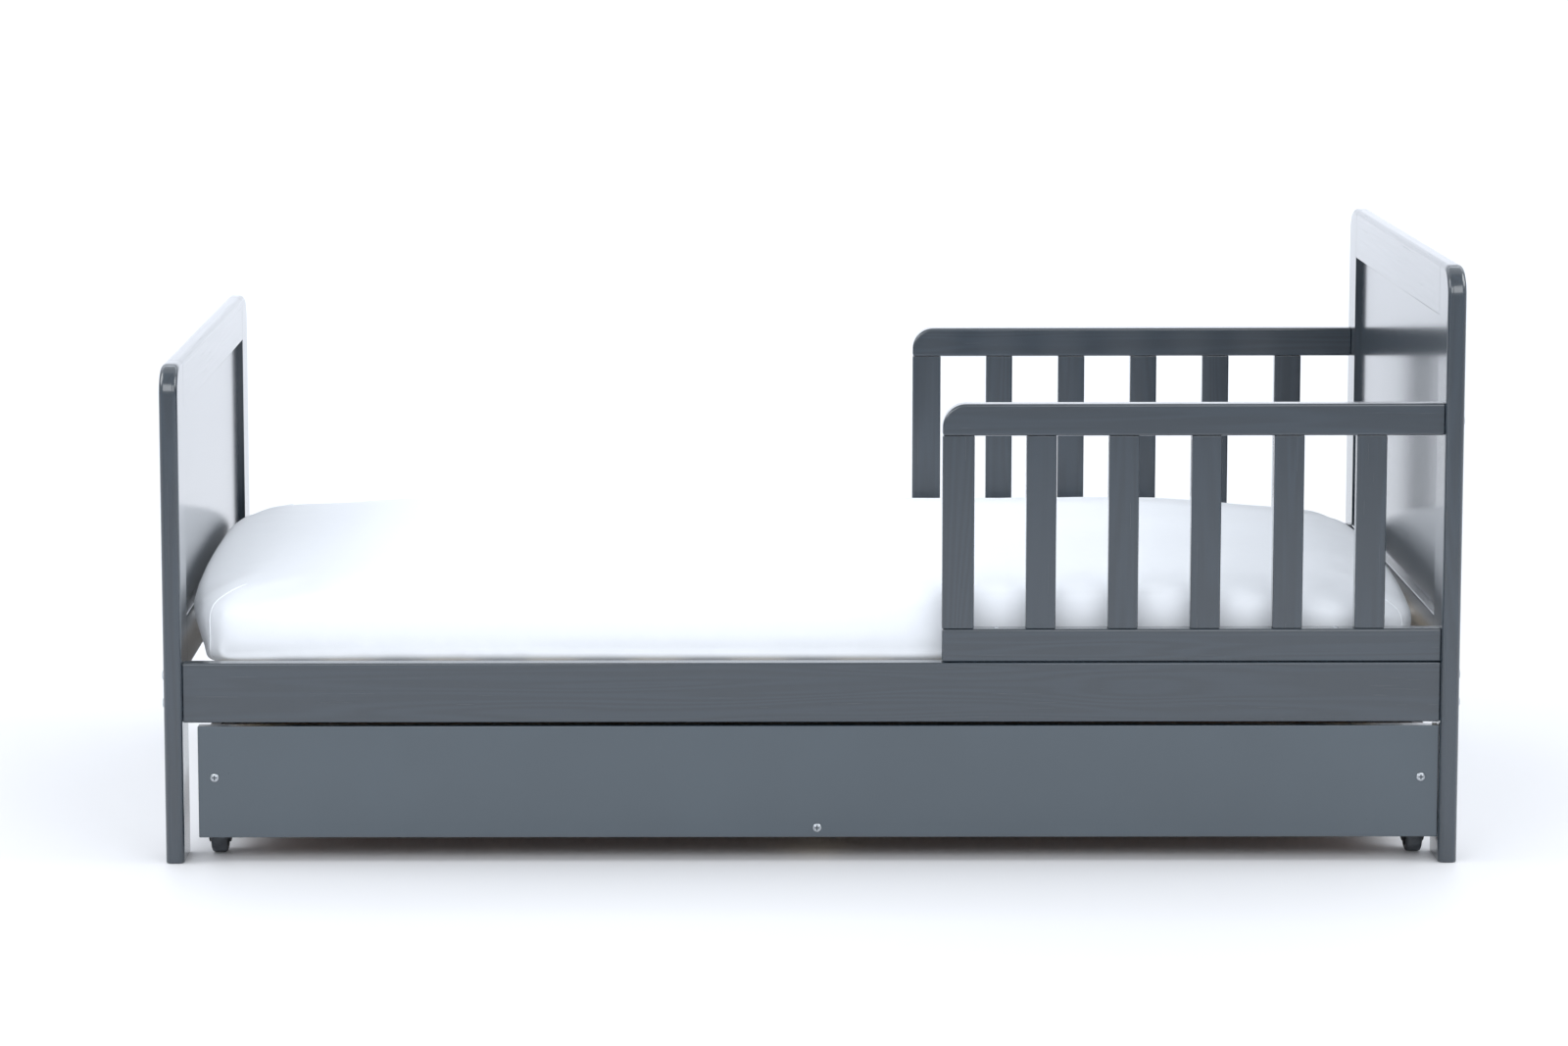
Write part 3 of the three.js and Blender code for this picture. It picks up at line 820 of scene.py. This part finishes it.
def roundedPath(low, high, inset, corner, count):
    # Points at even steps round a rectangle with round corners, and the way each looks outward.
    halfX = (high.x - low.x) / 2 - inset - corner
    halfY = (high.y - low.y) / 2 - inset - corner
    middle = (low + high) / 2
    arc = corner * math.pi / 2
    stretches = [2 * halfX, arc, 2 * halfY, arc, 2 * halfX, arc, 2 * halfY, arc]
    total = sum(stretches)
    starts = [(-halfX, -halfY - corner), None, (halfX + corner, -halfY), None,
              (halfX, halfY + corner), None, (-halfX - corner, halfY), None]
    centres = [(halfX, -halfY), (halfX, halfY), (-halfX, halfY), (-halfX, -halfY)]
    points = []
    for step in range(count):
        left = total * step / count
        leg = 0
        while left > stretches[leg]:
            left -= stretches[leg]
            leg += 1
        turn = -math.pi / 2 + (leg // 2) * math.pi / 2
        if leg % 2 == 0:
            x, y = starts[leg]
            x -= math.sin(turn) * left
            y += math.cos(turn) * left
        else:
            turn += left / corner
            x = centres[leg // 2][0] + math.cos(turn) * corner
            y = centres[leg // 2][1] + math.sin(turn) * corner
        outward = Vector((math.cos(turn), math.sin(turn), 0))
        points.append((Vector((middle.x + x, middle.y + y, 0)), outward))
    return points


def sheetHem():
    # The elastic hem that holds the sheet under the mattress, gathered into small waves.
    look = hemLook
    low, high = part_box("mattress")
    gather, sides, radius = look["stepsPerGather"], look["sides"], look["radius"]
    middle = low.z + mattressLook["clear"] - radius * 0.35
    path = roundedPath(low, high, look["inset"], look["corner"], look["gathers"] * gather)
    bm = bmesh.new()
    loops = []
    for step, (point, outward) in enumerate(path):
        wave = math.sin(2 * math.pi * step / gather + 0.6 * noise.noise(point * 25))
        ring = []
        for side in range(sides):
            angle = 2 * math.pi * side / sides
            spread = radius * (look["width"] + look["wave"] * wave)
            up = Vector((0, 0, math.sin(angle) * radius * look["flatness"]))
            offset = outward * math.cos(angle) * spread + up
            ring.append(bm.verts.new(point + Vector((0, 0, middle)) + offset))
        loops.append(ring)
    edges = []
    for ring in loops:
        edges.append([bm.edges.new(pair) for pair in zip(ring, ring[1:] + ring[:1])])
    for first, second in zip(edges, edges[1:] + edges[:1]):
        bmesh.ops.bridge_loops(bm, edges=first + second)
    bmesh.ops.recalc_face_normals(bm, faces=bm.faces)
    makePiece(bm, "sheet_elastic_hem", sheetCloth, "mattress", smoothAngle=80)


def mattressUnderside():
    # The mattress's own ticking, which shows inside the hem.
    look = hemLook
    low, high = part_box("mattress")
    inset = look["inset"]
    thick = 1.6 * millimetre
    bottom = low.z + mattressLook["clear"] - thick / 2
    corner = (low.x + inset, low.y + inset, bottom)
    opposite = (high.x - inset, high.y - inset, bottom + thick)
    bm = blockBetween(corner, opposite)
    roundEdges(bm, [e for e in bm.edges if not sidesOf(e) & {"-z", "+z"}], look["corner"], 10)
    makePiece(bm, "mattress_ticking_base", tickingCloth, "mattress")


seamLook = {
    "half": 1.6 * millimetre, "steps": 26, "swing": math.radians(62), "rise": 0.55,
    "centreInset": 100 * millimetre, "castFrom": 400 * millimetre,
}


def cornerSeams(cover):
    # The four upright seams that shape the sheet's corners, each a narrow sewn ridge.
    look = seamLook
    low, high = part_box("mattress")
    surface = BVHTree.FromObject(cover, bpy.context.evaluated_depsgraph_get())
    half = look["half"]
    section = [(-half, -0.4), (-half * 0.6, 0.55), (0, 0.85), (half * 0.6, 0.55), (half, -0.4),
               (0, -1)]
    seams = []
    for sideX in (-1, 1):
        for sideY in (-1, 1):
            corner = Vector((high.x if sideX > 0 else low.x, high.y if sideY > 0 else low.y, 0))
            outward = Vector((sideX, sideY, 0)).normalized()
            sideways = Vector((-sideY, sideX, 0)).normalized()
            centre = corner - Vector((sideX, sideY, 0)) * look["centreInset"]
            centre.z = (low.z + high.z) / 2
            bm = bmesh.new()
            rings = []
            for step in range(look["steps"]):
                angle = look["swing"] * (2 * step / (look["steps"] - 1) - 1)
                ray = outward * math.cos(angle) + Vector((0, 0, math.sin(angle) * look["rise"]))
                start = centre + ray.normalized() * look["castFrom"]
                spot, normal, _, _ = surface.ray_cast(start, -ray.normalized())
                if spot is None:
                    continue
                rings.append([bm.verts.new(spot + sideways * across + normal * up * millimetre)
                              for across, up in section])
            edges = [[bm.edges.new(pair) for pair in zip(ring, ring[1:] + ring[:1])] for ring in rings]
            for first, second in zip(edges, edges[1:]):
                bmesh.ops.bridge_loops(bm, edges=first + second)
            bm.faces.new(rings[0])
            bm.faces.new(rings[-1])
            bmesh.ops.recalc_face_normals(bm, faces=bm.faces)
            seams.append(bm)
    makePiece(joined(seams), "sheet_corner_seams", sheetCloth, "mattress",
              smoothAngle=80)


cover = mattress()
sheetHem()
mattressUnderside()
cornerSeams(cover)
print("mattress ready")


studioLook = {
    "floor": "e6e6e8", "world": (0.92, 0.955, 1.0), "worldStrength": 0.8,
    "reach": 30.0, "wallBehind": 16.0, "wallTop": 14.0, "cove": 3.5,
}
lights = [
    # name, place, size across and up, power, aim, tint
    ("overhead", (0.0, 1.5, 4.4), (8.0, 4.0), 40.0, (0.0, 1.3, 0.3), (0.92, 0.96, 1.0)),
    ("front_left", (-1.3, -3.2, 2.0), (2.2, 1.4), 31.0, (-0.2, -0.2, 0.5), (0.95, 0.975, 1.0)),
    ("front_right", (1.5, -3.2, 2.0), (2.2, 1.4), 29.0, (0.2, -0.2, 0.5), (0.95, 0.975, 1.0)),
    ("side_left", (-3.3, -0.6, 2.6), (2.0, 2.0), 47.0, (-1.4, 0.0, 0.0), (0.95, 0.975, 1.0)),
    ("side_right", (3.3, -0.6, 2.6), (2.0, 2.0), 50.0, (1.4, 0.0, 0.0), (0.95, 0.975, 1.0)),
    ("floor_wash", (0.0, 4.4, 5.5), (14.0, 1.5), 150.0, (0.0, 6.4, 0.4), (0.845, 0.91, 1.0)),
    ("wall_wash", (0.0, 10.0, 7.0), (22.0, 4.0), 900.0, (0.0, 13.5, 0.0), (0.88, 0.93, 1.0)),
]
cameraLook = {
    "place": (-0.1319, -5.9335, 1.3434), "turn": 0.369, "tilt": 6.833, "roll": -0.137,
    "lens": 100.53, "shiftX": 0.0669, "shiftY": -0.12,
}


def studioFloor():
    # Floor and back wall in one sweep, so there is no horizon.
    look = studioLook
    bm = bmesh.new()
    reach, wall, cove = look["reach"], look["wallBehind"], look["cove"]
    points = [(-reach, 0.0)]
    turns = 16
    for step in range(turns + 1):
        angle = math.pi / 2 * step / turns
        points.append((wall - cove + cove * math.sin(angle), cove - cove * math.cos(angle)))
    points.append((wall, look["wallTop"]))
    verts = [bm.verts.new((-reach, y, z)) for y, z in points]
    edges = [bm.edges.new(pair) for pair in zip(verts, verts[1:])]
    grown = bmesh.ops.extrude_edge_only(bm, edges=edges)["geom"]
    far = [item for item in grown if isinstance(item, bmesh.types.BMVert)]
    bmesh.ops.translate(bm, vec=(2 * reach, 0, 0), verts=far)
    bmesh.ops.recalc_face_normals(bm, faces=bm.faces)
    surface = Surface("studio_floor", {"Base Color": colour(look["floor"]), "Roughness": 0.55})
    mesh = bpy.data.meshes.new("studio_floor")
    bm.to_mesh(mesh)
    bm.free()
    mesh.materials.append(surface.material)
    mesh.shade_smooth()
    floor = bpy.data.objects.new("studio_floor", mesh)
    scene.collection.objects.link(floor)


def studioLight():
    world = bpy.data.worlds.new("studio")
    world.use_nodes = True
    background = world.node_tree.nodes["Background"]
    background.inputs["Color"].default_value = (*studioLook["world"], 1)
    background.inputs["Strength"].default_value = studioLook["worldStrength"]
    scene.world = world
    for name, place, (across, up), power, aim, tint in lights:
        data = bpy.data.lights.new(name, "AREA")
        data.shape = "RECTANGLE"
        data.size = across
        data.size_y = up
        data.energy = power
        data.color = tint
        lamp = bpy.data.objects.new(name, data)
        lamp.location = place
        lamp.rotation_euler = (Vector(aim) - Vector(place)).to_track_quat("-Z", "Y").to_euler()
        lamp.visible_camera = False
        scene.collection.objects.link(lamp)


def studioCamera():
    look = cameraLook
    data = bpy.data.cameras.new("camera")
    data.lens = look["lens"]
    data.shift_x = look["shiftX"]
    data.shift_y = look["shiftY"]
    data.clip_end = 200
    camera = bpy.data.objects.new("camera", data)
    turn = Matrix.Rotation(math.radians(look["turn"]), 4, "Z")
    tilt = Matrix.Rotation(math.radians(90 - look["tilt"]), 4, "X")
    roll = Matrix.Rotation(math.radians(look["roll"]), 4, "Z")
    camera.matrix_world = Matrix.Translation(look["place"]) @ turn @ tilt @ roll
    scene.collection.objects.link(camera)
    scene.camera = camera


studioFloor()
studioLight()
studioCamera()
scene.view_settings.view_transform = "Standard"
print("studio ready")
